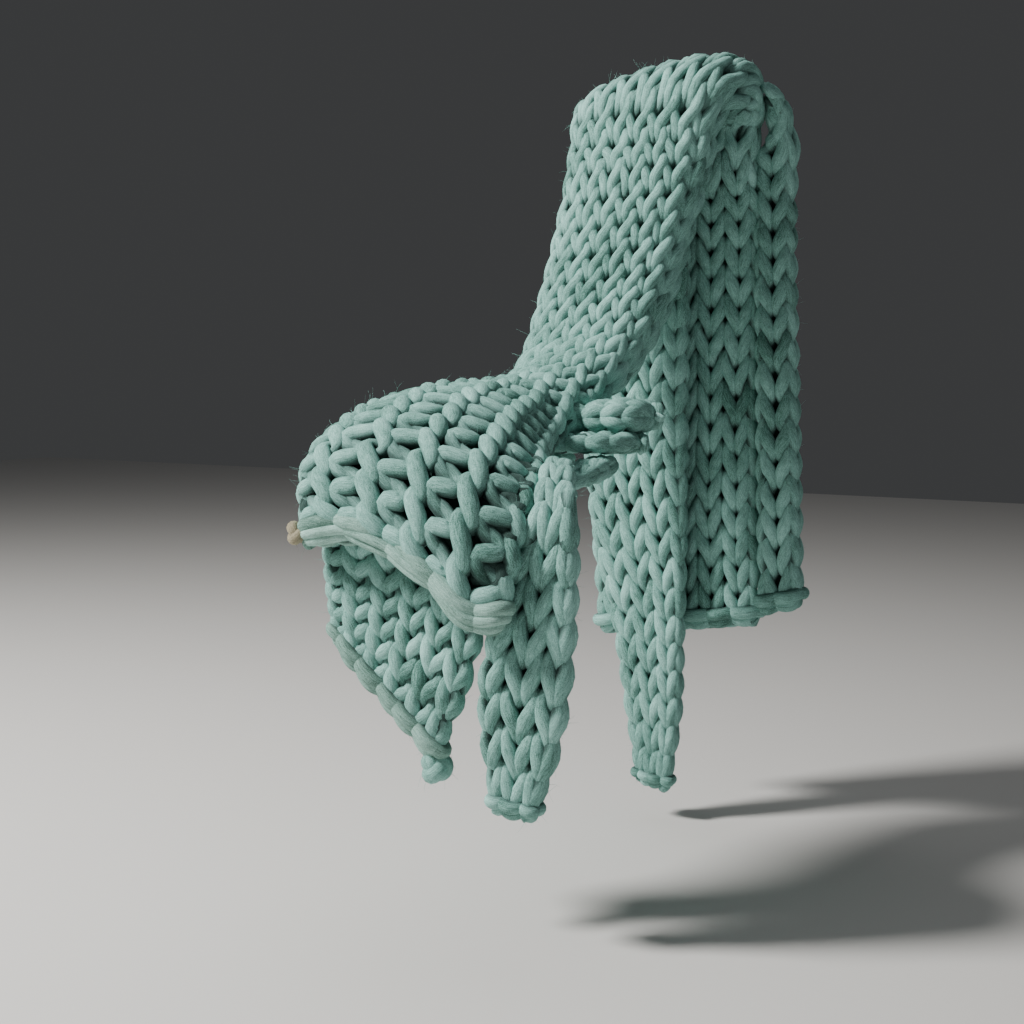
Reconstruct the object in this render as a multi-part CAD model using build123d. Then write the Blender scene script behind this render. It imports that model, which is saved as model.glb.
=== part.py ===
from build123d import *
import os
from collections import namedtuple
from math import cos, pi, radians, sin

# A chunky hand-knitted throw, folded lengthwise and draped over a cafe chair.
#
# The chair itself is not part of the model. Its seat top is the plane z = 0 and its hoop-shaped
# back rail is a tube along X at (RAIL_Y, RAIL_Z). +X is the sitter's left, +Y points from the
# seat's front edge to the chair's back, and +Z is up. The origin is the middle of the flat
# underside with which the throw rests on the seat.
#
# The cloth is one fabric, so every node is a stretch of that fabric: a run of doubled cloth,
# cut where one ball of roving ends and the next begins, or the bound-off chain that ends it.
# Each run is described by cross-cuts. A cut gives the run's two side edges, half the thickness
# of the pile at each of them, and how far the middle crowns above the line between them.

# Driving dimensions, in millimetres.
YARN = 18.0                     # diameter of the roving
CHAIN = 0.85 * YARN             # how far a bound-off chain stands past the last course
RAIL_RADIUS = 10.0              # tube of the chair's back rail
RAIL_Y = 245.0
RAIL_Z = 409.0
RAIL_BITE = 6.0                 # how deep the tube presses into the cloth
RING_POINTS = 12                # corners of each cross-section
ROUNDING = 3.0                  # exponent of the section's superellipse, 2 would be an ellipse
STEPS = 2                       # rings from one cut to the next
KNOT_RADIUS = 0.75 * YARN

Cut = namedtuple("Cut", "left right half_left half_right crown")


def rail_cut(angle, left_x, right_x, half_left, half_right, crown):
    """A cut that wraps the rail: 0 degrees is in front of it, 90 above and 180 behind."""
    def edge(x, half):
        reach = RAIL_RADIUS - RAIL_BITE + half
        turn = radians(angle)
        return (x, RAIL_Y - reach * cos(turn), RAIL_Z + reach * sin(turn))
    return Cut(edge(left_x, half_left), edge(right_x, half_right), half_left, half_right, crown)


# The main run, from the front hem over the seat, up the chair's back, over the rail and down.
MAIN_RUN = [
    Cut((-136, -226, -36), (98, -238, -98), 18, 18, 6),
    Cut((-150, -214, -2), (108, -234, -55), 24, 22, 16),
    Cut((-162, -180, 30), (106, -205, -8), 28, 20, 28),
    Cut((-161, -120, 54), (90, -140, 21), 30, 20, 32),
    Cut((-144, -50, 66), (64, -65, 40), 31, 24, 32),
    Cut((-112, 20, 74), (50, 6, 62), 28, 25, 24),
    Cut((-76, 85, 92), (62, 84, 99), 26, 26, 14),
    Cut((-62, 125, 132), (86, 144, 144), 24, 37, 8),
    Cut((-54, 150, 190), (108, 178, 205), 23, 38, 6),
    Cut((-45, 172, 262), (122, 197, 275), 22, 38, 5),
    Cut((-38, 194, 335), (138, 203, 345), 24, 38, 4),
    Cut((-37, 208, 376), (146, 203, 380), 26, 40, 3),
    rail_cut(0, -36, 150, 26.5, 39.5, 2),
    rail_cut(45, -36, 166, 28.5, 45.5, 3),
    rail_cut(90, -36, 186, 30.5, 50.5, 5),
    rail_cut(135, -38, 186, 28.5, 44.5, 4),
    rail_cut(180, -42, 174, 23.5, 34.5, 2),
    Cut((-44, 276, 378), (169, 288, 378), 24, 30, 2),
    Cut((-47, 302, 330), (169, 312, 330), 22, 25, 2),
    Cut((-49, 321, 260), (170, 325, 260), 21, 22, 2),
    Cut((-50, 327, 160), (172, 328, 160), 20, 22, 2),
    Cut((-50, 330, 40), (175, 330, 40), 20, 22, 2),
    Cut((-46, 331, -80), (179, 331, -70), 20, 21, 2),
    Cut((-34, 330, -200), (183, 330, -172), 16, 17, 1),
]

# The folded edge that lies beside the main run on the rail and on the chair's back.
EDGE_FOLD = [
    Cut((190, 279, 452), (194, 276, 458), 4, 4, 1),
    Cut((188, 301, 418), (203, 295, 439), 14, 14, 3),
    Cut((176, 311, 392), (207, 309, 396), 17, 17, 4),
    Cut((172, 316, 355), (208, 318, 350), 20, 20, 5),
    Cut((171, 322, 250), (213, 323, 250), 21, 21, 4),
    Cut((175, 324, 100), (222, 325, 100), 21, 21, 4),
    Cut((179, 325, -40), (230, 326, -30), 21, 21, 4),
    Cut((184, 325, -158), (237, 326, -146), 17, 17, 2),
]

# The inner layer behind the chair, which ends in a corner that hangs almost to the floor.
INNER_RUN = [
    Cut((-40, 256, 322), (100, 264, 322), 9, 9, 1),
    Cut((-44, 264, 288), (98, 272, 288), 14, 14, 2),
    Cut((-46, 281, 200), (94, 287, 200), 18, 18, 2),
    Cut((-42, 284, 60), (96, 288, 60), 18, 18, 2),
    Cut((-30, 286, -60), (98, 289, -70), 18, 18, 2),
    Cut((0, 288, -180), (97, 290, -190), 18, 18, 2),
    Cut((22, 289, -300), (96, 290, -302), 18, 18, 2),
    Cut((38, 290, -384), (84, 290, -392), 14, 14, 1),
]

# The layer folded under the main run on the seat.
UNDER_LAYER = [
    Cut((-58, 92, 25), (32, 88, 25), 27, 27, 0),
    Cut((-98, 20, 20), (30, 10, 20), 22, 22, 0),
    Cut((-132, -90, 15), (34, -96, 14), 17, 16, 0),
    Cut((-136, -148, 14), (18, -152, 12), 16, 14, 0),
]

# The corner of that layer, which hangs in front of the seat with a slanting bound-off edge.
UNDER_FLAP = [
    Cut((-134, -193, -30), (72, -194, -75), 15, 15, 2),
    Cut((-128, -196, -75), (54, -197, -135), 17, 17, 5),
    Cut((-122, -198, -108), (36, -198, -198), 17, 17, 5),
    Cut((-116, -198, -140), (10, -196, -256), 14, 14, 2),
]

# The gathered tail at the seat's front corner.
MIDDLE_TAIL = [
    Cut((87, -118, 30), (106, -112, 28), 12, 12, 2),
    Cut((99, -165, 20), (130, -158, 17), 16, 15, 4),
    Cut((108, -206, -18), (152, -200, -22), 19, 19, 5),
    Cut((84, -208, -80), (157, -206, -80), 19, 19, 6),
    Cut((58, -206, -160), (154, -206, -160), 20, 20, 6),
    Cut((58, -204, -230), (142, -204, -236), 19, 19, 6),
    Cut((70, -202, -296), (118, -202, -302), 15, 15, 3),
]

# Folds stacked beside the foot of the chair's back, each running towards +X.
UPPER_ROLL = [
    Cut((57, 34, 75), (64, 100, 78), 16, 17, 0),
    Cut((92, 28, 78), (94, 102, 79), 18, 18, 0),
    Cut((115, 36, 79), (116, 100, 79), 17, 17, 0),
    Cut((129, 68, 79), (129, 80, 79), 5, 5, 0),
]
LOWER_ROLL = [
    Cut((54, -2, 48), (62, 78, 50), 9, 9, 0),
    Cut((84, 0, 50), (88, 82, 50), 10, 10, 0),
    Cut((106, 12, 50), (108, 82, 50), 10, 10, 0),
    Cut((121, 48, 50), (121, 58, 50), 4, 4, 0),
]
TUCKED_CORNER = [
    Cut((70, -62, 8), (90, -58, 9), 4, 4, 0),
    Cut((58, -14, 13), (102, -12, 21), 12, 11, 0),
    Cut((60, 26, 15), (104, 28, 29), 14, 10, 0),
]


def between(before, start, end, after, t):
    """A Catmull-Rom value from start to end, for numbers and for points."""
    if isinstance(start, tuple):
        return tuple(between(*values, t) for values in zip(before, start, end, after))
    bend = 2 * before - 5 * start + 4 * end - after
    twist = 3 * start - before - 3 * end + after
    return start + 0.5 * ((end - before) * t + bend * t**2 + twist * t**3)


def beyond(cut, neighbour):
    """The value that continues the line from neighbour through cut."""
    if isinstance(cut, tuple):
        return tuple(beyond(*values) for values in zip(cut, neighbour))
    return 2 * cut - neighbour


def smoothed(cuts):
    """The cuts of a run with STEPS rings for every gap, on smooth curves through all of them."""
    padded = [beyond(cuts[0], cuts[1]), *cuts, beyond(cuts[-1], cuts[-2])]
    rings = []
    for gap in range(len(cuts) - 1):
        for step in range(STEPS):
            rings.append(Cut(*between(*map(tuple, padded[gap:gap + 4]), step / STEPS)))
    return rings + [cuts[-1]]


def middle(cut):
    return (Vector(*cut.left) + Vector(*cut.right)) / 2


def outward(cuts, index):
    """The direction out of the cloth's outer face at one ring."""
    ahead = middle(cuts[min(index + 1, len(cuts) - 1)])
    behind = middle(cuts[max(index - 1, 0)])
    side = Vector(*cuts[index].right) - Vector(*cuts[index].left)
    return side.cross(ahead - behind).normalized()


def rounded(value):
    """The superellipse's version of a sine or cosine."""
    return (1 if value > 0 else -1) * abs(value) ** (2 / ROUNDING)


def section(cut, out):
    """The outline of one ring: a slab with rounded sides, crowned towards out."""
    left, right = Vector(*cut.left), Vector(*cut.right)
    points = []
    for corner in range(RING_POINTS):
        angle = 2 * pi * corner / RING_POINTS
        across = (1 - rounded(cos(angle))) / 2
        half = cut.half_left + (cut.half_right - cut.half_left) * across
        height = cut.crown * 4 * across * (1 - across) + half * rounded(sin(angle))
        points.append(left + (right - left) * across + out * height)
    return Wire.make_polygon(points, close=True)


def stretch(run, first, last):
    """The solid of a run from one of its cuts to another."""
    rings = smoothed(run)
    span = range(first * STEPS, last * STEPS + 1)
    return Solid.make_loft([section(rings[i], outward(rings, i)) for i in span], ruled=True)


def chain(run, at_end=True):
    """The bound-off chain past one end of a run, thinner than the cloth it finishes."""
    rings = smoothed(run)
    index, neighbour = (len(rings) - 1, -2) if at_end else (0, 1)
    edge = rings[index]
    out = outward(rings, index)
    away = (middle(edge) - middle(rings[neighbour])).normalized() * CHAIN
    far = Cut(tuple(Vector(*edge.left) + away), tuple(Vector(*edge.right) + away),
              0.6 * edge.half_left, 0.6 * edge.half_right, edge.crown)
    return Solid.make_loft([section(edge, out), section(far, out)], ruled=True)


def beside_rail(solid):
    """A solid of the main run with the channel that the rail's tube lies in cut out of it."""
    return solid - Cylinder(RAIL_RADIUS, 600, rotation=(0, 90, 0)).moved(Location((50, RAIL_Y, RAIL_Z)))


def seat_under_layer():
    """The folded layer on the seat, flat where it rests."""
    above_seat = Box(600, 600, 200).moved(Location((0, 0, 100)))
    return stretch(UNDER_LAYER, 0, 3) & above_seat


def corner_knot():
    """The knot of the yarn's end at the front hem's left corner."""
    return Sphere(KNOT_RADIUS).moved(Location((-149, -231, -46)))


def flap_corner_knot():
    """The knot that closes the lowest corner of the under flap."""
    return Sphere(KNOT_RADIUS).moved(Location((1, -197, -284)))


NODES = {
    "front_hem_band": stretch(MAIN_RUN, 0, 2),
    "seat_front_band": stretch(MAIN_RUN, 2, 4),
    "seat_rear_band": stretch(MAIN_RUN, 4, 6),
    "backrest_foot_band": stretch(MAIN_RUN, 6, 8),
    "backrest_lower_band": stretch(MAIN_RUN, 8, 9),
    "backrest_upper_band": beside_rail(stretch(MAIN_RUN, 9, 12)),
    "rail_fold_band": beside_rail(stretch(MAIN_RUN, 12, 16)),
    "back_upper_band": beside_rail(stretch(MAIN_RUN, 16, 19)),
    "back_middle_band": stretch(MAIN_RUN, 19, 21),
    "back_lower_band": stretch(MAIN_RUN, 21, 23),
    "edge_fold_over_rail": stretch(EDGE_FOLD, 0, 3),
    "edge_fold_upper": stretch(EDGE_FOLD, 3, 5),
    "edge_fold_lower": stretch(EDGE_FOLD, 5, 7),
    "inner_layer_upper": stretch(INNER_RUN, 0, 2),
    "inner_layer_lower": stretch(INNER_RUN, 2, 4),
    "rear_tail_upper": stretch(INNER_RUN, 4, 5),
    "rear_tail_lower": stretch(INNER_RUN, 5, 7),
    "seat_under_layer": seat_under_layer(),
    "under_flap": stretch(UNDER_FLAP, 0, 3),
    "middle_tail_on_seat": stretch(MIDDLE_TAIL, 0, 1),
    "middle_tail_bend": stretch(MIDDLE_TAIL, 1, 2),
    "middle_tail_upper": stretch(MIDDLE_TAIL, 2, 4),
    "middle_tail_lower": stretch(MIDDLE_TAIL, 4, 6),
    "upper_side_roll": stretch(UPPER_ROLL, 0, 3),
    "lower_side_roll": stretch(LOWER_ROLL, 0, 3),
    "tucked_corner": stretch(TUCKED_CORNER, 0, 2),
    "front_hem_chain": chain(MAIN_RUN, at_end=False),
    "back_hem_chain": chain(MAIN_RUN),
    "edge_fold_chain": chain(EDGE_FOLD),
    "under_flap_chain": chain(UNDER_FLAP),
    "middle_tail_chain": chain(MIDDLE_TAIL),
    "rear_tail_chain": chain(INNER_RUN),
    "corner_knot": corner_knot(),
    "flap_corner_knot": flap_corner_knot(),
}

os.makedirs("parts", exist_ok=True)
for name, solid in NODES.items():
    export_step(Compound(solid.solids()), f"parts/{name}.step")
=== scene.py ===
"""A chunky hand-knitted throw, draped over a chair that is left out.

The CAD model gives each stretch of the doubled cloth as a plain solid. Here every stretch is
laid out stitch by stitch on the surface of the same drape: each course is one closed strand of
roving, whose loops pass over and under those of the course below it as in stocking stitch.
The runs of cloth and their cuts are those of the CAD model, in millimetres, and become metres
when they are read.
"""

from collections import namedtuple
from math import radians

import bpy
import numpy as np
from mathutils import Matrix, Vector


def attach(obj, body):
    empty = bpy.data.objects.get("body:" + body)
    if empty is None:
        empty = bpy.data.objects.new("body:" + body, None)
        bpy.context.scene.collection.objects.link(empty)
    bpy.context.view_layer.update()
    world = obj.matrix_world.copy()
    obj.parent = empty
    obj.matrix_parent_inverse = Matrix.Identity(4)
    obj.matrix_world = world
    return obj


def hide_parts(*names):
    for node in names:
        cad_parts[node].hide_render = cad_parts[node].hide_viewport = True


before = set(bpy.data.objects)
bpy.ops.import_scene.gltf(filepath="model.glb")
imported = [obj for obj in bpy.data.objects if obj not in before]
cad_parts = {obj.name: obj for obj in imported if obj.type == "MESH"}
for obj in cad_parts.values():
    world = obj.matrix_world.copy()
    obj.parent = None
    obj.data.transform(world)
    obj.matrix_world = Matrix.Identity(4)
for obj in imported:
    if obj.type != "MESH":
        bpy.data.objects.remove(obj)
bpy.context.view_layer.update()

MM = 0.001
YARN_RADIUS = 8.6 * MM          # the roving where nothing squeezes it
RAIL_RADIUS, RAIL_BITE, RAIL_Y, RAIL_Z = 10, 6, 245, 409       # in mm, as in the CAD model
SEAT_FRONT_Y, SEAT_BACK_Y = -195 * MM, 200 * MM
SEAT_REACH = 20 * MM            # loops no further than this below the seat are lifted onto it
ROUNDING = 3.0                  # exponent of the cross-section's superellipse
RINGS_PER_GAP = 16              # fine rings of the drape from one cut to the next
AROUND = 192                    # points of one fine ring
HEM_TURNS_AT = 0.75             # how far across a wavy hem turns from drawn up to sagging
LINING_STEP = 4                 # fine rings, and points round them, for each one of the lining
SAMPLES = 26                    # points of a strand for each stitch
SIDES = 12                      # corners of a strand's cross-section
SEED = 7


# ---------------------------------------------------------------- the drape

Cut = namedtuple("Cut", "left right half_left half_right crown")


def rail_cut(angle, left_x, right_x, half_left, half_right, crown):
    """A cut that wraps the rail: 0 degrees is in front of it, 90 above and 180 behind."""
    def edge(x, half):
        reach = RAIL_RADIUS - RAIL_BITE + half
        turn = radians(angle)
        return (x, RAIL_Y - reach * np.cos(turn), RAIL_Z + reach * np.sin(turn))
    return Cut(edge(left_x, half_left), edge(right_x, half_right), half_left, half_right, crown)


# Each cut: the run's left and right edge, half the pile's thickness there, and the crown.
MAIN_RUN = [
    Cut((-136, -226, -36), (98, -238, -98), 18, 18, 6),
    Cut((-150, -214, -2), (108, -234, -55), 24, 22, 16),
    Cut((-162, -180, 30), (106, -205, -8), 28, 20, 28),
    Cut((-161, -120, 54), (90, -140, 21), 30, 20, 32),
    Cut((-144, -50, 66), (64, -65, 40), 31, 24, 32),
    Cut((-112, 20, 74), (50, 6, 62), 28, 25, 24),
    Cut((-76, 85, 92), (62, 84, 99), 26, 26, 14),
    Cut((-62, 125, 132), (86, 144, 144), 24, 37, 8),
    Cut((-54, 150, 190), (108, 178, 205), 23, 38, 6),
    Cut((-45, 172, 262), (122, 197, 275), 22, 38, 5),
    Cut((-38, 194, 335), (138, 203, 345), 24, 38, 4),
    Cut((-37, 208, 376), (146, 203, 380), 26, 40, 3),
    rail_cut(0, -36, 150, 26.5, 39.5, 2),
    rail_cut(45, -36, 166, 28.5, 45.5, 3),
    rail_cut(90, -36, 186, 30.5, 50.5, 5),
    rail_cut(135, -38, 186, 28.5, 44.5, 4),
    rail_cut(180, -42, 174, 23.5, 34.5, 2),
    Cut((-44, 276, 378), (169, 288, 378), 24, 30, 2),
    Cut((-47, 302, 330), (169, 312, 330), 22, 25, 2),
    Cut((-49, 321, 260), (170, 325, 260), 21, 22, 2),
    Cut((-50, 327, 160), (172, 328, 160), 20, 22, 2),
    Cut((-50, 330, 40), (175, 330, 40), 20, 22, 2),
    Cut((-46, 331, -80), (179, 331, -70), 20, 21, 2),
    Cut((-34, 330, -200), (183, 330, -172), 16, 17, 1),
]
EDGE_FOLD = [
    Cut((190, 279, 452), (194, 276, 458), 4, 4, 1),
    Cut((188, 301, 418), (203, 295, 439), 14, 14, 3),
    Cut((176, 311, 392), (207, 309, 396), 17, 17, 4),
    Cut((172, 316, 355), (208, 318, 350), 20, 20, 5),
    Cut((171, 322, 250), (213, 323, 250), 21, 21, 4),
    Cut((175, 324, 100), (222, 325, 100), 21, 21, 4),
    Cut((179, 325, -40), (230, 326, -30), 21, 21, 4),
    Cut((184, 325, -158), (237, 326, -146), 17, 17, 2),
]
INNER_RUN = [
    Cut((-40, 256, 322), (100, 264, 322), 9, 9, 1),
    Cut((-44, 264, 288), (98, 272, 288), 14, 14, 2),
    Cut((-46, 281, 200), (94, 287, 200), 18, 18, 2),
    Cut((-42, 284, 60), (96, 288, 60), 18, 18, 2),
    Cut((-30, 286, -60), (98, 289, -70), 18, 18, 2),
    Cut((0, 288, -180), (97, 290, -190), 18, 18, 2),
    Cut((22, 289, -300), (96, 290, -302), 18, 18, 2),
    Cut((38, 290, -384), (84, 290, -392), 14, 14, 1),
]
UNDER_LAYER = [
    Cut((-58, 92, 25), (32, 88, 25), 27, 27, 0),
    Cut((-98, 20, 20), (30, 10, 20), 22, 22, 0),
    Cut((-132, -90, 15), (34, -96, 14), 17, 16, 0),
    Cut((-136, -148, 14), (18, -152, 12), 16, 14, 0),
]
UNDER_FLAP = [
    Cut((-134, -193, -30), (72, -194, -75), 15, 15, 2),
    Cut((-128, -196, -75), (54, -197, -135), 17, 17, 5),
    Cut((-122, -198, -108), (36, -198, -198), 17, 17, 5),
    Cut((-116, -198, -140), (10, -196, -256), 14, 14, 2),
]
MIDDLE_TAIL = [
    Cut((87, -118, 30), (106, -112, 28), 12, 12, 2),
    Cut((99, -165, 20), (130, -158, 17), 16, 15, 4),
    Cut((108, -206, -18), (152, -200, -22), 19, 19, 5),
    Cut((84, -208, -80), (157, -206, -80), 19, 19, 6),
    Cut((58, -206, -160), (154, -206, -160), 20, 20, 6),
    Cut((58, -204, -230), (142, -204, -236), 19, 19, 6),
    Cut((70, -202, -296), (118, -202, -302), 15, 15, 3),
]
UPPER_ROLL = [
    Cut((57, 34, 75), (64, 100, 78), 16, 17, 0),
    Cut((92, 28, 78), (94, 102, 79), 18, 18, 0),
    Cut((115, 36, 79), (116, 100, 79), 17, 17, 0),
    Cut((129, 68, 79), (129, 80, 79), 5, 5, 0),
]
LOWER_ROLL = [
    Cut((54, -2, 48), (62, 78, 50), 9, 9, 0),
    Cut((84, 0, 50), (88, 82, 50), 10, 10, 0),
    Cut((106, 12, 50), (108, 82, 50), 10, 10, 0),
    Cut((121, 48, 50), (121, 58, 50), 4, 4, 0),
]
TUCKED_CORNER = [
    Cut((70, -62, 8), (90, -58, 9), 4, 4, 0),
    Cut((58, -14, 13), (102, -12, 21), 12, 11, 0),
    Cut((60, 26, 15), (104, 28, 29), 14, 10, 0),
]


def spline(values, at):
    """Catmull-Rom values of the rows of a table at fractional row numbers."""
    values = np.asarray(values, float)
    padded = np.vstack([2 * values[0] - values[1], values, 2 * values[-1] - values[-2]])
    row = np.clip(np.floor(at).astype(int), 0, len(values) - 2)
    t = (np.asarray(at) - row)[:, None]
    before, start, end, after = (padded[row + k] for k in range(4))
    bend = 2 * before - 5 * start + 4 * end - after
    twist = 3 * start - before - 3 * end + after
    return start + 0.5 * ((end - before) * t + bend * t**2 + twist * t**3)


def unit(vectors):
    return vectors / np.maximum(np.linalg.norm(vectors, axis=-1, keepdims=True), 1e-12)


def superellipse(values):
    return np.sign(values) * np.abs(values) ** (2 / ROUNDING)


def evenly(points, count):
    """A closed ring as count points, spaced evenly over its outer half and its inner half."""
    half = len(points) // 2
    halves = []
    for part in (points[:half + 1], points[half:]):
        length = np.concatenate([[0], np.cumsum(np.linalg.norm(np.diff(part, axis=0), axis=1))])
        even = np.linspace(0, length[-1], count // 2 + 1)[:-1]
        halves.append(np.stack([np.interp(even, length, part[:, k]) for k in range(3)], axis=1))
    return np.vstack(halves)


def hem_wave(across):
    """How a wavy hem hangs: drawn up over its left three quarters, sagging at its right."""
    drawn_up = -np.sin(np.pi * across / HEM_TURNS_AT)
    sagging = 0.5 * np.sin(4 * np.pi * (across - HEM_TURNS_AT))
    return np.where(across < HEM_TURNS_AT, drawn_up, sagging)


class Run:
    """One run of doubled cloth: a smooth sleeve, addressed by wale and by course.

    wales is how many columns of stitches go round the sleeve, points_back turns their V's
    round, and tuck is how many more courses continue it into the cloth that it comes out of.
    Every profile is a list of (cut number, value):
    row     the height of a course in mm
    share   the part of the wales that lies on the outer face
    spread  0 for firm V's, 1 for stitches pulled wide, as knit() shapes them
    yarn    the strand's radius as a share of YARN_RADIUS
    plump   how much fatter the strand is where the sleeve folds at its right edge
    wave    how far the hem's wave reaches, in mm
    matted  1 where the stitches are felted into a flat web with three-cornered holes
    swell   how far the knitting stands out past the CAD solid, in mm
    """

    PLAIN = {
        "share": 0.5, "spread": 0.0, "yarn": 1.0, "plump": 0.0, "wave": 0.0, "matted": 0.0, "swell": 0.0,
    }

    def __init__(self, cuts, wales, row, points_back=False, tuck=0, **profiles):
        self.wales, self.points_back, self.tuck = wales, points_back, tuck
        self.profile = {name: [(0, value)] for name, value in self.PLAIN.items()} | profiles | {"row": row}
        table = [[*cut.left, *cut.right, *cut[2:]] for cut in cuts]
        self.at = np.linspace(0, len(cuts) - 1, (len(cuts) - 1) * RINGS_PER_GAP + 1)
        self.shape = spline(table, self.at) * MM
        self.path = (self.shape[:, :3] + self.shape[:, 3:6]) / 2
        self.along = unit(np.gradient(self.path, axis=0))
        self.ring = self.rings(0.0, AROUND)
        self.normal = self.normals()
        step = np.linalg.norm(np.diff(self.path, axis=0), axis=1)
        course = np.concatenate([[0], np.cumsum(step / (self.value("row", self.at)[1:] * MM))])
        self.count = max(int(round(course[-1])), 1)
        self.course = course * self.count / course[-1]
        self.row_height = step.sum() / self.count

    def rings(self, inset, count):
        """The cross-sections of the sleeve, or of one that lies inset deeper in the cloth."""
        left, right = self.shape[:, :3], self.shape[:, 3:6]
        half_left, half_right, crown = self.shape[:, 6:].T
        out = unit(np.cross(right - left, self.along))
        side = unit(right - left)
        inset = inset - self.value("swell", self.at) * MM
        left, right = left + side * inset[:, None], right - side * inset[:, None]
        half_left, half_right = (np.maximum(half - inset, MM) for half in (half_left, half_right))
        angle = np.linspace(0, 2 * np.pi, 4 * AROUND + 1)
        across = (1 - superellipse(np.cos(angle))) / 2
        half = half_left[:, None] + (half_right - half_left)[:, None] * across
        lift = crown[:, None] * 4 * across * (1 - across) + half * superellipse(np.sin(angle))
        hang = self.value("wave", self.at)[:, None] * MM * hem_wave(across)
        ring = left[:, None] + (right - left)[:, None] * across[:, None]
        ring = ring + out[:, None] * lift[..., None] - self.along[:, None] * hang[..., None]
        return np.stack([evenly(points, count) for points in ring])

    def normals(self):
        """The directions out of the sleeve, square to its outline and to its path."""
        around = np.roll(self.ring, -1, axis=1) - np.roll(self.ring, 1, axis=1)
        normal = unit(np.cross(around, self.along[:, None]))
        centre = self.ring.mean(axis=1, keepdims=True)
        return normal * np.sign(((self.ring - centre) * normal).sum())

    def value(self, name, at):
        stops, values = zip(*self.profile[name])
        return np.interp(at, stops, values)

    def thickness(self, at):
        """How thick the sleeve is, at its thinner edge."""
        return 2 * np.interp(at, self.at, self.shape[:, 6:8].min(axis=1))

    def cut_at(self, course):
        """The fractional cut number of a course."""
        return np.interp(course, self.course, self.at)

    def courses(self, first, last):
        """The whole courses that lie between two cuts."""
        low, high = np.interp([first, last], self.at, self.course)
        return np.arange(int(round(low)) if first else -self.tuck, int(round(high)))

    def turn(self, wale):
        """How far round the sleeve a wale lies, from 0 to 1."""
        return np.mod(wale / self.wales, 1.0)

    def place(self, wale, course):
        """The surface's point and outward normal at fractional wales and courses."""
        at = self.cut_at(course)
        share, turn = self.value("share", at), self.turn(wale)
        around = np.where(turn < share, 0.5 * turn / share, 0.5 + 0.5 * (turn - share) / (1 - share))
        row = np.clip(at * RINGS_PER_GAP, 0, len(self.at) - 1.001)
        column = np.mod(around * AROUND, AROUND)
        i, j = row.astype(int), column.astype(int)
        u, v = (row - i)[..., None], (column - j)[..., None]
        k = (j + 1) % AROUND

        def between(grid):
            near = (1 - v) * grid[i, j] + v * grid[i, k]
            far = (1 - v) * grid[i + 1, j] + v * grid[i + 1, k]
            return (1 - u) * near + u * far

        point, normal = between(self.ring), between(self.normal)
        over = np.maximum(course - self.course[-1], 0) * self.row_height
        under = np.maximum(-course, 0) * self.row_height
        point = point + over[..., None] * self.along[-1] - under[..., None] * self.along[0]
        return point, unit(normal)


# ---------------------------------------------------------------- strands

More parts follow.
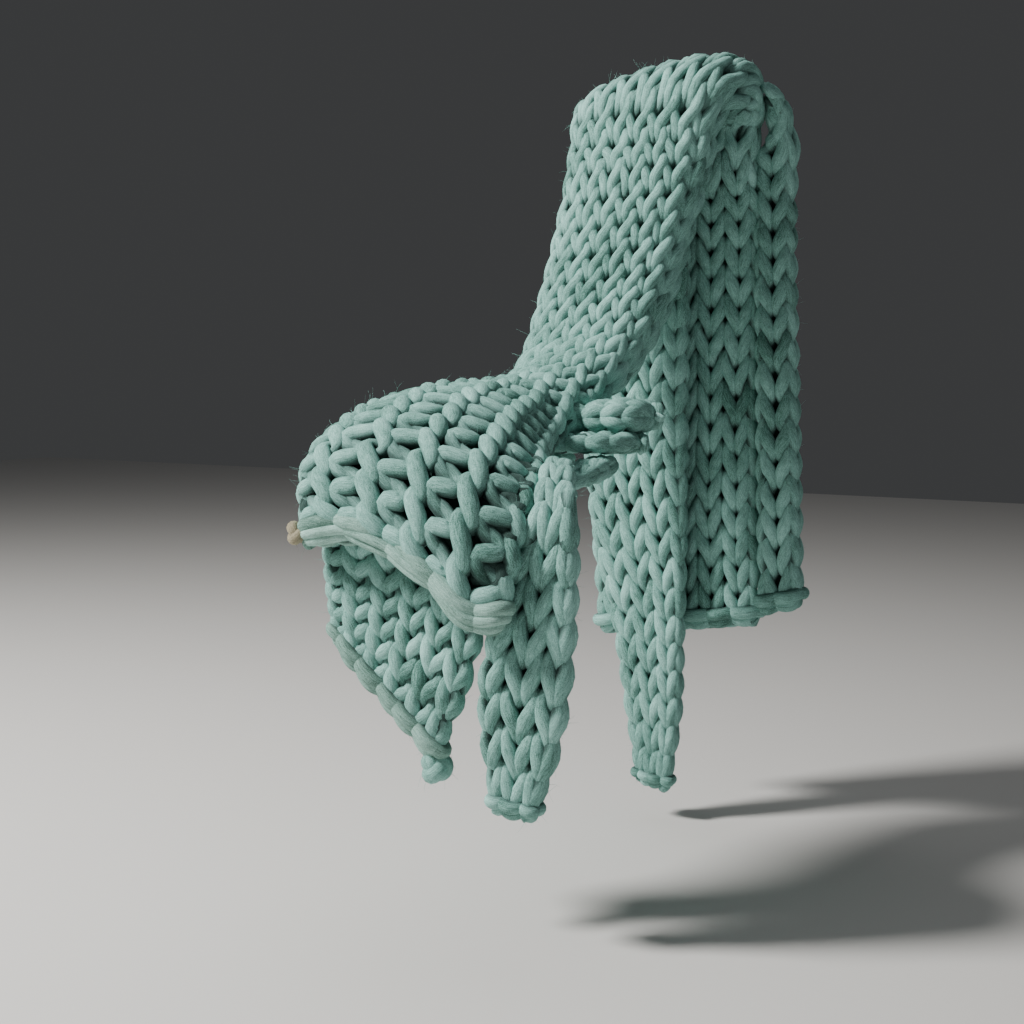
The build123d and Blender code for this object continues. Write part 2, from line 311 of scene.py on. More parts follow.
class Strands:
    """Collects tubes and other faces into one mesh, with what the wool material reads."""

    def __init__(self):
        self.points, self.faces, self.fibre, self.tone, self.shade_depth = [], [], [], [], []
        self.slots, self.count = [], 0
        self.centres, self.outs, self.radii, self.length = [], [], [], 0.0

    def add(self, points, faces, fibre, tone, shade_depth, slot):
        self.points.append(points)
        self.faces.append(faces + self.count)
        self.slots.append(np.full(len(faces), slot))
        self.fibre.append(fibre)
        self.tone.append(tone)
        self.shade_depth.append(shade_depth)
        self.count += len(points)

    def tubes(self, paths, radii, outs, tones, closed, shade_depth=0.0, flatten=0.94, sides=SIDES):
        """Tubes along paths of (count, samples, 3), flattened a little along outs.

        sunk is how deep a strand lies in the cloth, in strand radii; with how far each point faces away
        from outs, it sets how much shade the wool material paints on the strand.
        """
        count, samples, _ = paths.shape
        tangent, step = self.steps(paths, closed)
        side = unit(np.cross(tangent, outs))
        up = np.cross(side, tangent)
        angle = 2 * np.pi * np.arange(sides) / sides
        sideways, upwards = np.cos(angle)[None, None, :, None], np.sin(angle)[None, None, :, None] * flatten
        spoke = side[:, :, None] * sideways + up[:, :, None] * upwards
        surface = paths[:, :, None] + radii[..., None, None] * spoke
        travelled = np.cumsum(step, axis=1)
        turned = angle[None, None, :] + 0 * radii[..., None]
        fibre = np.stack([
            travelled[..., None] + 0 * turned,
            radii[..., None] * np.cos(turned) + np.arange(count)[:, None, None],
            radii[..., None] * np.sin(turned),
        ], axis=-1)
        first_point = np.arange(count) * samples * sides
        quads = (self.walls(samples, sides, closed) + first_point[:, None, None]).reshape(-1, 4)
        facing = (spoke * np.broadcast_to(outs, paths.shape)[:, :, None]).sum(axis=-1)
        # How deep each point lies, which the wool material turns into painted shade.
        below = (np.asarray(shade_depth) + 0 * radii)[..., None] + 1 - facing
        tone = np.repeat(tones.reshape(-1), sides)
        self.add(surface.reshape(-1, 3), quads, fibre.reshape(-1, 3), tone, below.reshape(-1), 0)
        self.centres.append(paths.reshape(-1, 3))
        self.outs.append(np.broadcast_to(outs, paths.shape).reshape(-1, 3))
        self.radii.append(radii.reshape(-1))
        self.length += step.sum()

    @staticmethod
    def steps(paths, closed):
        """The directions along some paths, and how far each point is from the one before it."""
        if closed:
            tangent = np.roll(paths, -1, axis=1) - np.roll(paths, 1, axis=1)
            before = paths[:, -1:]
        else:
            tangent = np.gradient(paths, axis=1)
            before = paths[:, :1]
        return unit(tangent), np.linalg.norm(np.diff(paths, axis=1, prepend=before), axis=2)

    @classmethod
    def walls(cls, samples, sides, closed):
        """The quads of one tube, with its ends capped if it has any."""
        ring = np.arange(samples if closed else samples - 1)[:, None] * sides
        corner = np.arange(sides)
        following = (ring + sides) % (samples * sides)
        quads = np.stack([ring + corner, ring + (corner + 1) % sides, following + (corner + 1) % sides,
                          following + corner], axis=-1).reshape(-1, 4)
        return quads if closed else np.vstack([quads, cls.caps(samples, sides)])

    @staticmethod
    def caps(samples, sides):
        """Fans of quads that close both ends of an open tube, which has an even number of sides."""
        end = np.array([[0, k, k + 1, k + 2] for k in range(1, sides - 2, 2)])
        return np.vstack([end[:, ::-1], end + (samples - 1) * sides])

    def make(self, name, materials):
        points, faces = np.vstack(self.points), np.vstack(self.faces)
        mesh = bpy.data.meshes.new(name)
        mesh.vertices.add(len(points))
        mesh.vertices.foreach_set("co", points.astype(np.float32).ravel())
        mesh.loops.add(faces.size)
        mesh.loops.foreach_set("vertex_index", faces.astype(np.int32).ravel())
        mesh.polygons.add(len(faces))
        mesh.polygons.foreach_set("loop_start", np.arange(0, faces.size, 4, dtype=np.int32))
        mesh.polygons.foreach_set("material_index", np.concatenate(self.slots).astype(np.int32))
        mesh.update(calc_edges=True)
        mesh.polygons.foreach_set("use_smooth", np.ones(len(faces), dtype=bool))
        fibre = mesh.attributes.new("fibre", "FLOAT_VECTOR", "POINT")
        fibre.data.foreach_set("vector", np.vstack(self.fibre).astype(np.float32).ravel())
        for name_of_value, values in (("tone", self.tone), ("shade_depth", self.shade_depth)):
            attribute = mesh.attributes.new(name_of_value, "FLOAT", "POINT")
            attribute.data.foreach_set("value", np.concatenate(values).astype(np.float32))
        for material in materials:
            mesh.materials.append(material)
        mesh.validate()
        piece = bpy.data.objects.new(name, mesh)
        bpy.context.scene.collection.objects.link(piece)
        return piece


# ---------------------------------------------------------------- knitting

RNG = np.random.default_rng(SEED)
PROUD = 1.5 * MM                # how far the legs stand out of the sleeve
LOOSE_END = 0.08                # courses that the last loops reach past a run's end
OPEN_END = 0.6                  # courses from a run's end over which its loops lie in the open
OPEN_LIGHT = 1.5                # how much less painted shade a loop gets there, in strand radii of depth
FOLD_WIDTH = 1.1                # wales on each side of a fold over which the strand is plumper
DEEP_SLEEVE = 3.2               # a sleeve this thick, in strand radii, gets the full painted shade in its crevices
LINING_DEPTH = 2.2              # how deep the lining lies behind the stitches, in strand radii

# How unlike one another the stitches are: in slant, in wales, in courses, in girth and in tone.
SLANT_VARIES, WALE_VARIES, COURSE_VARIES, GIRTH_VARIES, TONE_VARIES = 0.10, 0.035, 0.04, 0.05, 0.12

# One stitch as eight knots of its strand: where it lies in its wale and in its course, how deep
# it lies, in strand radii, and how thick it is. The left leg of a V is the last leg of one
# stitch and the right leg is the first of the next, so V's are centred between two wales.
Knots = namedtuple("Knots", "head top middle bottom sinker bottom_left middle_left top_left")
FIRM = Knots(
    head=(0.00, 0.90, 1.55, 0.68),
    top=(0.41, 0.64, 0.80, 0.74),
    middle=(0.27, 0.06, 0.00, 1.02),
    bottom=(0.11, -0.52, 0.68, 0.76),
    sinker=(0.50, -0.86, 1.55, 0.68),
    bottom_left=(0.89, -0.52, 0.68, 0.76),
    middle_left=(0.73, 0.06, 0.00, 1.02),
    top_left=(0.59, 0.64, 0.80, 0.74),
)
MATTED = Knots(
    head=(0.00, 0.92, 1.45, 0.80),
    top=(0.48, 0.58, 0.50, 0.96),
    middle=(0.42, 0.12, 0.00, 1.00),
    bottom=(0.14, -0.42, 0.35, 1.00),
    sinker=(0.50, -0.86, 1.45, 0.80),
    bottom_left=(0.88, -0.44, 0.52, 0.96),
    middle_left=(0.60, 0.10, 0.30, 0.98),
    top_left=(0.54, 0.58, 0.66, 0.92),
)
PULLED_WIDE = Knots(
    head=(0.20, 0.72, 1.25, 0.82),
    top=(0.66, 0.26, 0.55, 0.98),
    middle=(0.38, 0.00, 0.12, 1.14),
    bottom=(0.10, -0.26, 0.45, 1.00),
    sinker=(0.52, -0.66, 1.25, 0.82),
    bottom_left=(0.98, -0.58, 0.66, 0.86),
    middle_left=(0.86, 0.00, -0.26, 1.16),
    top_left=(0.73, 0.60, 0.66, 0.86),
)


def loop_table(knots):
    """A smooth curve through a stitch's knots, as SAMPLES rows; wales count from the stitch's own."""
    points = np.array(knots)
    points[:, 0] -= np.arange(len(points)) / len(points)
    waves = np.fft.rfft(points, axis=0)
    number = np.arange(len(waves))
    weight = np.where((number == 0) | (number == len(points) // 2), 1, 2)
    turn = np.exp(2j * np.pi * np.outer(np.arange(SAMPLES) / SAMPLES, number))
    return ((turn * weight) @ waves).real / len(points)


def uneven(count, wales, amount):
    """Smooth random changes from stitch to stitch, one row for each course, of +-amount."""
    stitch = RNG.normal(0, amount, (count, wales))
    at = np.linspace(0, wales, wales * SAMPLES, endpoint=False)
    low = np.floor(at).astype(int) % wales
    blend = 0.5 - 0.5 * np.cos(np.pi * (at - np.floor(at)))
    return stitch[:, low] * (1 - blend) + stitch[:, (low + 1) % wales] * blend


def off_the_rail(points, radius):
    """Points moved out of the way of the chair's rail, whose tube lies in the cloth."""
    axis = np.array([0, RAIL_Y, RAIL_Z]) * MM
    away = (points - axis) * np.array([0, 1, 1])
    distance = np.linalg.norm(away, axis=-1, keepdims=True)
    short = np.maximum(RAIL_RADIUS * MM + radius[..., None] - distance, 0)
    return points + away / np.maximum(distance, 1e-9) * short


def knit(run, first, last, strands):
    """The courses of a run between two cuts: each is one closed strand round the sleeve."""
    courses = run.courses(first, last)
    count, wales = len(courses), run.wales
    at = run.cut_at(courses + 0.5)[:, None]
    spread, matted = (run.value(name, at)[..., None] for name in ("spread", "matted"))
    firm, wide, web = (np.tile(loop_table(knots), (wales, 1)) for knots in (FIRM, PULLED_WIDE, MATTED))
    shape = firm + spread * (wide - firm) + matted * (web - firm)
    aside, along, depth, girth = np.moveaxis(shape, -1, 0)
    stitch = np.linspace(0, wales, wales * SAMPLES, endpoint=False)
    wale = stitch + aside * (1 + uneven(count, wales, SLANT_VARIES)) + uneven(count, wales, WALE_VARIES)
    way = -1 if run.points_back else 1
    course = courses[:, None] + 0.5 + way * along + uneven(count, wales, COURSE_VARIES)
    course = np.clip(course, -run.tuck - LOOSE_END, run.course[-1] + LOOSE_END)
    turn = run.turn(wale)
    fold = np.exp(-((turn - run.value("share", at)) * wales / FOLD_WIDTH) ** 2)
    yarn = YARN_RADIUS * run.value("yarn", at) * (1 + run.value("plump", at) * fold)
    radius = yarn * girth * (1 + uneven(count, wales, GIRTH_VARIES))
    point, out = run.place(wale, course)
    paths = point - out * (radius + yarn * depth - PROUD)[..., None]
    paths[..., 2] = np.where(on_seat(paths, radius), radius, paths[..., 2])
    paths = off_the_rail(paths, radius)
    tones = 0.5 + uneven(count, wales, TONE_VARIES)
    # Painted crevice shade: full in thick cloth, and less near a run's open ends.
    full = np.clip(run.thickness(at) / (DEEP_SLEEVE * YARN_RADIUS), 0, 1) ** 2
    inside = np.clip(np.minimum(course + run.tuck, run.course[-1] - course) / OPEN_END, 0, 1)
    shade_depth = inside * full * (depth + girth) - 1 - OPEN_LIGHT * (1 - inside)
    strands.tubes(paths, radius, out, tones, closed=True, shade_depth=shade_depth)
    lining(run, first, last, strands)


def on_seat(paths, radius):
    """Which points would sink into the chair's seat, the plane z = 0 behind its front edge."""
    y, z = paths[..., 1], paths[..., 2]
    return (z < radius) & (z > -SEAT_REACH) & (y > SEAT_FRONT_Y) & (y < SEAT_BACK_Y)


def lining(run, first, last, strands):
    """The cloth's inner side behind the stitches, as a sleeve of wool with open ends, painted dark for the
    shade that falls behind the stitches.
    """
    inset = LINING_DEPTH * YARN_RADIUS * run.value("yarn", first)
    low, high = int(first * RINGS_PER_GAP), int(last * RINGS_PER_GAP)
    rings = np.unique(np.append(np.arange(low, high, LINING_STEP), high))
    sides = AROUND // LINING_STEP
    points = run.rings(inset, sides)[rings]
    row, corner = np.arange(len(rings) - 1)[:, None] * sides, np.arange(sides)
    following = (corner + 1) % sides
    quads = np.stack([row + corner, row + following, row + sides + following, row + sides + corner],
                     axis=-1).reshape(-1, 4)
    points = points.reshape(-1, 3)
    strands.add(points, quads, points, np.full(len(points), 0.2), np.zeros(len(points)), 1)


LINK_VARIES = 0.1               # how unevenly the links lie, in wales
LINK_BULGE = 0.14               # how much fatter a link's legs are than its ends
LINK_HALF_WIDTH, LINK_LIFT = 0.80, 0.55     # in strand radii
CHAIN_OVERHANG, CHAIN_DEPTH = 0.55, 0.9     # where the chain lies, in strand radii
END_LEAN, OUT_LEAN = 0.66, 0.75             # a link faces between the run's end and outwards


def chain(run, at_end, strands, width, span, lap):
    """The bound-off chain round one end of a run: one long slanting link for each wale.

    width is the strand's radius as a share of the run's, span the link's length in wales, and
    lap how far the chain overlaps the last course, in strand radii.
    """
    phase = np.linspace(0, 2 * np.pi, 2 * SAMPLES, endpoint=False)
    link = np.arange(run.wales)[:, None]
    edge = run.course[-1] if at_end else 0.0
    away = run.along[-1] if at_end else -run.along[0]
    wale = link + span * (0.5 - 0.5 * np.cos(phase)) + LINK_VARIES * RNG.normal(size=(run.wales, 1))
    point, out = run.place(wale, np.full(wale.shape, edge))
    yarn = YARN_RADIUS * run.value("yarn", run.cut_at(edge)) * width
    bulge = 1 - LINK_BULGE + LINK_BULGE * np.sin(phase) ** 2
    radius = yarn * bulge * (1 + GIRTH_VARIES * RNG.normal(size=(run.wales, 1)))
    face = END_LEAN * away + OUT_LEAN * out
    lateral = OUT_LEAN * away - END_LEAN * out
    across = yarn * LINK_HALF_WIDTH * np.sin(phase)
    lift = -yarn * LINK_LIFT * np.cos(2 * phase)
    paths = point + away * (yarn * (CHAIN_OVERHANG - lap)) - out * (CHAIN_DEPTH * yarn)
    paths = paths + lateral * across[:, None] + face * lift[:, None]
    tones = 0.5 + TONE_VARIES * RNG.normal(size=(run.wales, 1)) + 0 * phase
    strands.tubes(paths, radius, face, tones, closed=True, shade_depth=-0.25)


def knot(centre, size, yarn, strands, turn):
    """A small tight knot: a trefoil of roving."""
    phase = np.linspace(0, 2 * np.pi, 96, endpoint=False)
    shape = np.stack([np.sin(phase) + 2 * np.sin(2 * phase), np.cos(phase) - 2 * np.cos(2 * phase),
                      -1.2 * np.sin(3 * phase)], axis=1) / 3.2
    shape = shape @ np.array(Matrix.Rotation(turn, 3, "X") @ Matrix.Rotation(turn / 2, 3, "Y")).T
    middle = np.array(centre) * MM
    paths = (middle + shape * (size * MM))[None]
    radius = np.full((1, len(phase)), yarn * MM) * (1 + 0.05 * np.sin(5 * phase))
    strands.tubes(paths, radius, unit(paths - middle + 1e-6), 0.5 + 0 * radius, closed=True, shade_depth=-0.3)


HAIRS_PER_METRE = 70
LONGEST_HAIR, HAIR_RADIUS = 14 * MM, 0.14 * MM


def fuzz(strands, hairs_per_metre, name, materials):
    """Fine fibres that stand off the roving, most of them short and lying close to it."""
    count = int(strands.length * hairs_per_metre)
    parts = strands.centres, strands.outs, strands.radii
    centres, outs, radii = (np.concatenate(part) for part in parts)
    pick = RNG.integers(0, len(centres), count)
    centre, out, radius = centres[pick], unit(outs[pick]), radii[pick]
    along = unit(np.cross(out, RNG.normal(size=(count, 3))))
    root_way = unit(out + 0.9 * along * RNG.uniform(-1, 1, (count, 1)))
    root = centre + root_way * (radius * 0.93)[:, None]
    length = LONGEST_HAIR * RNG.uniform(0.15, 1.0, count) ** 1.5
    way = unit(root_way * RNG.uniform(0.25, 1.0, (count, 1)) + along * RNG.uniform(0.3, 1.2, (count, 1)))
    curl = unit(RNG.normal(size=(count, 3)))
    t = np.linspace(0, 1, 4)[None, :, None]
    paths = root[:, None] + way[:, None] * (t * length[:, None, None])
    paths = paths + curl[:, None] * (t**2 * 0.45 * length[:, None, None])
    thick = HAIR_RADIUS * (1 - 0.7 * t[..., 0]) * np.ones((count, 1))
    hairs = Strands()
    outs = np.cross(way, curl)[:, None]
    # The hairs' lighter tone is painted light, for the haze of lit fibres; their very low depth keeps the
    # painted crevice shade off them.
    hairs.tubes(paths, thick, outs, 0.6 + 0 * thick, closed=False, shade_depth=-2.0, sides=4)
    return hairs.make(name, materials)


# ---------------------------------------------------------------- materials

# How fine the wool's patterns are, for each metre: streaks along a strand, flecks and clouds.
STREAK_SCALE, FLECK_SCALE, CLOUD_SCALE = 900, 1100, 38
STREAK_STRETCH = (0.12, 1.0, 1.0)
STREAK_SHARE, FLECK_SHARE, CLOUD_SHARE, TONE_SHARE = 0.38, 0.46, 0.16, 0.25
DARK_STOP, MIDDLE_STOP, LIGHT_STOP = 0.38, 0.50, 0.63
STREAK_RELIEF, FLECK_RELIEF = 0.7, 0.3
BUMP_STRENGTH, BUMP_HEIGHT = 0.55, 1.6 * MM
# Painted crevice shade: from which sunk value a strand darkens, where it is darkest, and how dark it is
# there.
CREVICE_SHADE = {"From Min": 0.4, "From Max": 1.5, "To Min": 1.0, "To Max": 0.15}


def attribute(tree, name, output="Fac"):
    node = tree.nodes.new("ShaderNodeAttribute")
    node.attribute_name = name
    return node.outputs[output]


def noise(tree, vector, scale, detail, roughness=0.6):
    texture = tree.nodes.new("ShaderNodeTexNoise")
    for socket, value in {"Scale": scale, "Detail": detail, "Roughness": roughness}.items():
        texture.inputs[socket].default_value = value
    tree.links.new(vector, texture.inputs["Vector"])
    return texture.outputs["Fac"]


def maths(tree, operation, first, second):
    node = tree.nodes.new("ShaderNodeMath")
    node.operation = operation
    for socket, value in zip(node.inputs, (first, second)):
        if isinstance(value, float):
            socket.default_value = value
        else:
            tree.links.new(value, socket)
    return node.outputs["Value"]


def mixed(tree, shares):
    """The sum of some patterns, each times its share."""
    parts = [maths(tree, "MULTIPLY", pattern, share) for pattern, share in shares]
    total = parts[0]
    for part in parts[1:]:
        total = maths(tree, "ADD", total, part)
    return total


def streaks_along(tree):
    """Fibres that streak along the strand."""
    mapping = tree.nodes.new("ShaderNodeMapping")
    mapping.inputs["Scale"].default_value = STREAK_STRETCH
    tree.links.new(attribute(tree, "fibre", "Vector"), mapping.inputs["Vector"])
    return noise(tree, mapping.outputs["Vector"], STREAK_SCALE, 5, 0.65)


def dyed(tree, blend, light, middle, dark):
    """The colour of the mixed wools."""
    ramp = tree.nodes.new("ShaderNodeValToRGB")
    stops = ramp.color_ramp.elements
    stops[0].position, stops[0].color = DARK_STOP, (*dark, 1)
    stops[1].position, stops[1].color = LIGHT_STOP, (*light, 1)
    centre = stops.new(MIDDLE_STOP)
    centre.color = (*middle, 1)
    tree.links.new(blend, ramp.inputs["Fac"])
    return ramp.outputs["Color"]


def painted_crevice_shade(tree, colour):
    """Painted shade: a colour that darkens where a strand lies deep in the cloth, where shade falls."""
    shade = tree.nodes.new("ShaderNodeMapRange")
    shade.interpolation_type = "SMOOTHSTEP"
    for socket, value in CREVICE_SHADE.items():
        shade.inputs[socket].default_value = value
    tree.links.new(attribute(tree, "shade_depth"), shade.inputs["Value"])
    shaded = tree.nodes.new("ShaderNodeVectorMath")
    shaded.operation = "SCALE"
    tree.links.new(colour, shaded.inputs[0])
    tree.links.new(shade.outputs["Result"], shaded.inputs["Scale"])
    return shaded.outputs["Vector"]


def raised(tree, height):
    """Normals that raise the fibres."""
    bump = tree.nodes.new("ShaderNodeBump")
    bump.inputs["Strength"].default_value = BUMP_STRENGTH
    bump.inputs["Distance"].default_value = BUMP_HEIGHT
    tree.links.new(height, bump.inputs["Height"])
    return bump.outputs["Normal"]


def wool(name, light, middle, dark, sheen=0.22):
    """Felted roving: fibres streak along the strand, flecks of light and dark wool mix in it, and shade is
    painted into its crevices.
    """
    material = bpy.data.materials.new(name)
    material.use_nodes = True
    tree = material.node_tree
    shader = tree.nodes["Principled BSDF"]
    finish = {"Roughness": 0.92, "Specular IOR Level": 0.22, "Sheen Weight": sheen,
              "Sheen Roughness": 0.55, "Sheen Tint": (*light, 1)}
    for socket, value in finish.items():
        shader.inputs[socket].default_value = value

    place = tree.nodes.new("ShaderNodeTexCoord").outputs["Object"]
    streaks = streaks_along(tree)
    flecks = noise(tree, place, FLECK_SCALE, 4, 0.7)
    clouds = noise(tree, place, CLOUD_SCALE, 2)
    tone = maths(tree, "SUBTRACT", attribute(tree, "tone"), 0.5)
    blend = mixed(tree, [(streaks, STREAK_SHARE), (flecks, FLECK_SHARE), (clouds, CLOUD_SHARE),
                         (tone, TONE_SHARE)])
    colour = painted_crevice_shade(tree, dyed(tree, blend, light, middle, dark))
    tree.links.new(colour, shader.inputs["Base Color"])
    relief = mixed(tree, [(streaks, STREAK_RELIEF), (flecks, FLECK_RELIEF)])
    tree.links.new(raised(tree, relief), shader.inputs["Normal"])
    return material


SAGE = wool("sage_roving", (0.40, 0.72, 0.66), (0.21, 0.43, 0.38), (0.05, 0.14, 0.11))
# The cloth's inner side: the same wool painted dark, as painted shade behind the stitches.
PAINTED_SHADE_LINING = wool("sage_inner_side_painted_shade", (0.09, 0.16, 0.14), (0.05, 0.09, 0.08), (0.02, 0.04, 0.03), sheen=0.05)
HEM = wool("sage_hem_roving", (0.43, 0.68, 0.61), (0.24, 0.42, 0.36), (0.07, 0.15, 0.12))
BEIGE = wool("beige_knot_roving", (0.46, 0.42, 0.30), (0.28, 0.25, 0.17), (0.10, 0.09, 0.06), sheen=0.5)


# ---------------------------------------------------------------- the runs and their stretches

MAIN_ROWS = [(0, 29), (3, 29), (6, 30), (9, 34), (12, 33), (16, 33), (20, 37), (23, 37)]
main = Run(
    MAIN_RUN, wales=16, row=MAIN_ROWS,
    share=[(0, 0.30), (5, 0.32), (8, 0.50), (23, 0.50)],
    spread=[(0, 1.0), (5, 1.0), (8, 0.0)],
    matted=[(5, 0.0), (8, 1.0), (14, 1.0), (16, 0.0)],
    yarn=[(0, 1.0), (5, 1.0), (8, 0.82), (12, 0.80), (14, 0.84), (16, 0.92), (19, 1.0)],
    plump=[(0, 0.0), (6, 0.0), (8, 0.32), (14, 0.32), (17, 0.0)],
    wave=[(0, 27.0), (1, 14.0), (2, 5.0), (3, 0.0)],
)
main_back = Run(
    MAIN_RUN, wales=14, row=MAIN_ROWS, points_back=True,
    yarn=[(0, 1.0), (16, 0.92), (19, 1.0)],
    swell=[(15, 0.0), (16, 5.0), (19, 4.0), (21, 0.0)],
)
edge_fold = Run(
    EDGE_FOLD, wales=4, row=[(0, 26), (2, 32), (7, 37)], points_back=True,
    yarn=[(0, 0.8), (1, 0.95), (2, 1.0)],
    swell=[(0, 11.0), (2, 11.0), (3, 7.0), (4, 4.0), (7, 1.0)],
)
inner = Run(
    INNER_RUN, wales=8, row=[(0, 36), (7, 36)], points_back=True,
    share=[(0, 0.42), (3, 0.42), (5, 0.5)],
    yarn=[(0, 1.0), (3, 1.02), (5, 0.92), (7, 0.88)],
)
under_layer = Run(UNDER_LAYER, wales=10, row=[(0, 34)])
under_flap = Run(UNDER_FLAP, wales=12, row=[(0, 24)], spread=[(0, 0.25)], yarn=[(0, 0.95)])
middle_tail = Run(
    MIDDLE_TAIL, wales=6, row=[(0, 30), (2, 36), (4, 40), (6, 38)],
    yarn=[(0, 0.80), (1, 0.86), (3, 0.98), (5, 0.98), (6, 0.9)],
    swell=[(0, 3.0), (2, 2.0), (3, 0.0)],
)
upper_roll = Run(
    UPPER_ROLL, wales=6, row=[(0, 24)], tuck=1, yarn=[(0, 1.05), (2, 1.05), (3, 0.7)], swell=[(0, 2.0)],
)
lower_roll = Run(
    LOWER_ROLL, wales=5, row=[(0, 24)], tuck=1, yarn=[(0, 0.95), (2, 0.95), (3, 0.6)], swell=[(0, 2.5)],
)
tucked = Run(TUCKED_CORNER, wales=5, row=[(0, 24)], yarn=[(0, 0.5), (1, 0.85)], swell=[(0, 2.0)])

STRETCHES = [
    ("front_hem_band", main, 0, 2),
    ("seat_front_band", main, 2, 4),
    ("seat_rear_band", main, 4, 6),
    ("backrest_foot_band", main, 6, 8),
    ("backrest_lower_band", main, 8, 9),
    ("backrest_upper_band", main, 9, 12),
    ("rail_fold_band", main, 12, 16),
    ("back_upper_band", main_back, 16, 19),
    ("back_middle_band", main_back, 19, 21),
    ("back_lower_band", main_back, 21, 23),
    ("edge_fold_over_rail", edge_fold, 0, 3),
    ("edge_fold_upper", edge_fold, 3, 5),
    ("edge_fold_lower", edge_fold, 5, 7),
    ("inner_layer_upper", inner, 0, 2),
    ("inner_layer_lower", inner, 2, 4),
    ("rear_tail_upper", inner, 4, 5),
    ("rear_tail_lower", inner, 5, 7),
    ("seat_under_layer", under_layer, 0, 3),
    ("under_flap", under_flap, 0, 3),
    ("middle_tail_on_seat", middle_tail, 0, 1),
    ("middle_tail_bend", middle_tail, 1, 2),
    ("middle_tail_upper", middle_tail, 2, 4),
    ("middle_tail_lower", middle_tail, 4, 6),
    ("upper_side_roll", upper_roll, 0, 3),
    ("lower_side_roll", lower_roll, 0, 3),
    ("tucked_corner", tucked, 0, 2),
]
# Node, run, whether the chain is at the run's end, material, and the width, span and lap of
# each of its ropes.
CHAINS = [
    ("front_hem_chain", main, False, HEM, [(1.00, 1.35, 0.3), (0.70, 1.35, -1.2)]),
    ("back_hem_chain", main_back, True, SAGE, [(1.05, 1.4, 0.7)]),
    ("edge_fold_chain", edge_fold, True, SAGE, [(1.0, 1.2, 0.7)]),
    ("under_flap_chain", under_flap, True, HEM, [(1.0, 1.5, 0.4)]),
    ("middle_tail_chain", middle_tail, True, SAGE, [(0.9, 1.2, 0.7)]),
    ("rear_tail_chain", inner, True, SAGE, [(0.9, 1.2, 0.7)]),
]
# Node, centre, size and strand radius in mm, and material.
KNOTS = [
    ("corner_knot", (-138, -231, -40), 9, 6.5, BEIGE),
    ("flap_corner_knot", (4, -197, -272), 10, 9.0, SAGE),
]
KNOT_TURN = 0.7                 # how far the knots are tipped, in radians
KNOT_HAIRS = 4.0                # how much hairier a knot is than the knitting


def finish_piece(piece, node):
    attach(piece, "root")
    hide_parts(node)


def fuzz_piece(strands, name, material, density=1.0):
    hairs = fuzz(strands, HAIRS_PER_METRE * density, name, [material])
    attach(hairs, "root")


def make_stretches():
    for name, run, first, last in STRETCHES:
        strands = Strands()
        knit(run, first, last, strands)
        finish_piece(strands.make(f"{name}_knit", [SAGE, PAINTED_SHADE_LINING]), name)
        fuzz_piece(strands, f"{name}_fuzz", SAGE)


def make_chains():
    for name, run, at_end, material, ropes in CHAINS:
        strands = Strands()
        for width, span, lap in ropes:
            chain(run, at_end, strands, width, span, lap)
        finish_piece(strands.make(f"{name}_links", [material]), name)
        fuzz_piece(strands, f"{name}_fuzz", material)


def make_knots():
    for name, centre, size, yarn, material in KNOTS:
        strands = Strands()
        knot(centre, size, yarn, strands, KNOT_TURN)
        finish_piece(strands.make(f"{name}_loops", [material]), name)
        fuzz_piece(strands, f"{name}_fuzz", material, KNOT_HAIRS)


# ---------------------------------------------------------------- stage, lights and camera

CHAIR_SEAT_HEIGHT = 0.441       # the floor is this far below the seat that the throw rests on
CAMERA_PLACE = Vector((0.719, -1.555, 0.123))
CAMERA_AIM = Vector((-0.4223, 0.9021, -0.0884))
CAMERA_ROLL = 0.93
CAMERA_LENS = 54.65
CAMERA_SENSOR = 36.0
FLOOR_HALF = 6.0
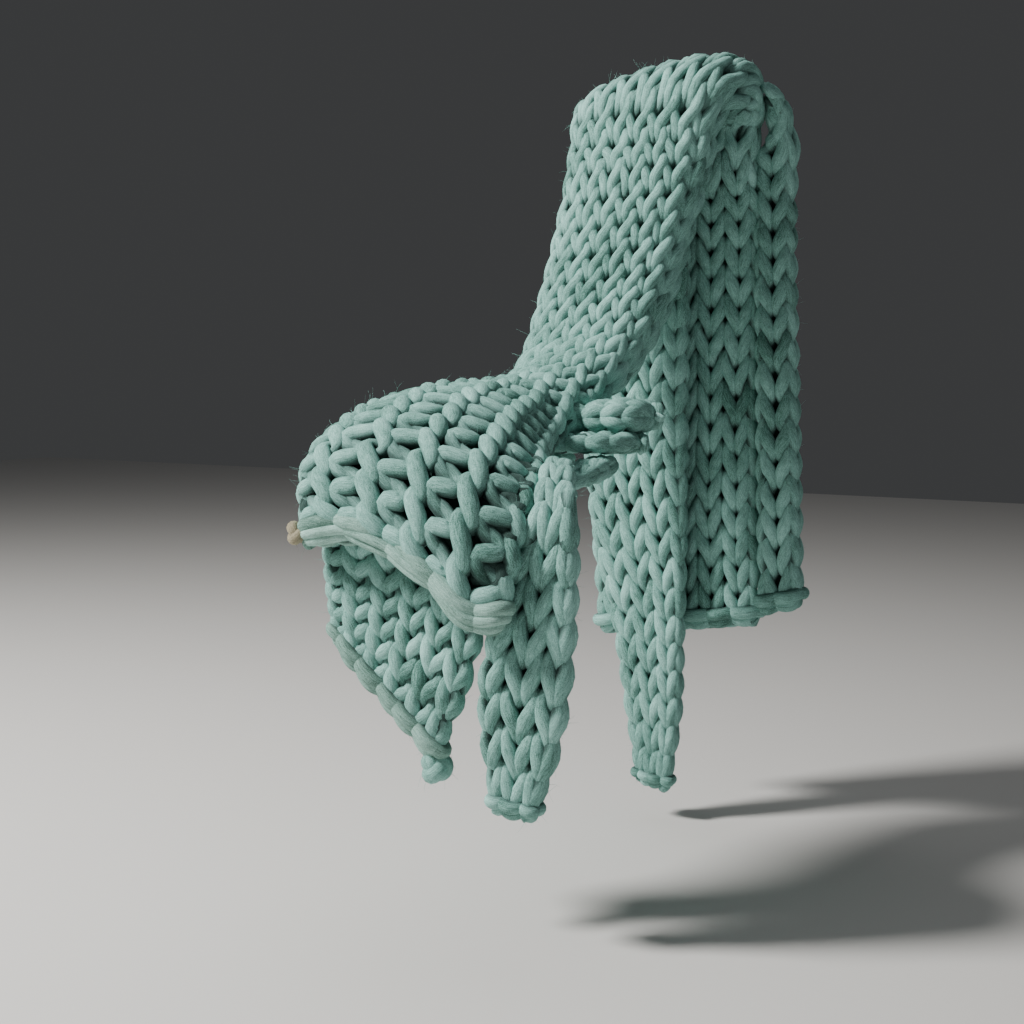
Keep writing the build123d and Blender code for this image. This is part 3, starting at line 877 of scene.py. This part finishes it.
# Name, place, target, size, watts and colour.
LIGHTS = [
    ("key", (-1.75, -1.5, 1.95), (0, 0, 0.1), 0.6, 172, (1.0, 0.98, 0.95)),
    ("fill", (2.4, -1.2, 0.9), (0, 0, 0), 2.0, 5, (0.93, 0.96, 1.0)),
    ("top", (-0.4, 0.6, 2.4), (0, 0, 0.1), 1.6, 10, (1.0, 1.0, 1.0)),
]


def plain_floor():
    mesh = bpy.data.meshes.new("floor")
    corners = [(x * FLOOR_HALF, y * FLOOR_HALF, 0) for x, y in ((-1, -1), (1, -1), (1, 1), (-1, 1))]
    mesh.from_pydata(corners, [], [(0, 1, 2, 3)])
    floor = bpy.data.objects.new("floor", mesh)
    floor.location = (0, 0, -CHAIR_SEAT_HEIGHT)
    bpy.context.scene.collection.objects.link(floor)
    paint = bpy.data.materials.new("pale_floor")
    paint.use_nodes = True
    finish = paint.node_tree.nodes["Principled BSDF"].inputs
    finish["Base Color"].default_value = (0.72, 0.71, 0.69, 1)
    finish["Roughness"].default_value = 0.8
    mesh.materials.append(paint)


def soft_light(name, place, target, size, watts, colour):
    data = bpy.data.lights.new(name, "AREA")
    data.shape, data.size, data.energy, data.color = "DISK", size, watts, colour
    light = bpy.data.objects.new(name, data)
    light.location = place
    light.rotation_euler = (Vector(target) - Vector(place)).to_track_quat("-Z", "Y").to_euler()
    bpy.context.scene.collection.objects.link(light)


def studio():
    for light in LIGHTS:
        soft_light(*light)
    world = bpy.data.worlds.new("studio")
    world.use_nodes = True
    background = world.node_tree.nodes["Background"].inputs
    background["Color"].default_value = (0.80, 0.82, 0.84, 1)
    background["Strength"].default_value = 0.06
    bpy.context.scene.world = world


def camera():
    data = bpy.data.cameras.new("camera")
    data.lens, data.sensor_width = CAMERA_LENS, CAMERA_SENSOR
    view = bpy.data.objects.new("camera", data)
    level = CAMERA_AIM.to_track_quat("-Z", "Y").to_matrix().to_4x4()
    roll = Matrix.Rotation(radians(CAMERA_ROLL), 4, "Z")
    view.matrix_world = Matrix.Translation(CAMERA_PLACE) @ level @ roll
    bpy.context.scene.collection.objects.link(view)
    bpy.context.scene.camera = view


camera()
plain_floor()
studio()
make_stretches()
make_chains()
make_knots()
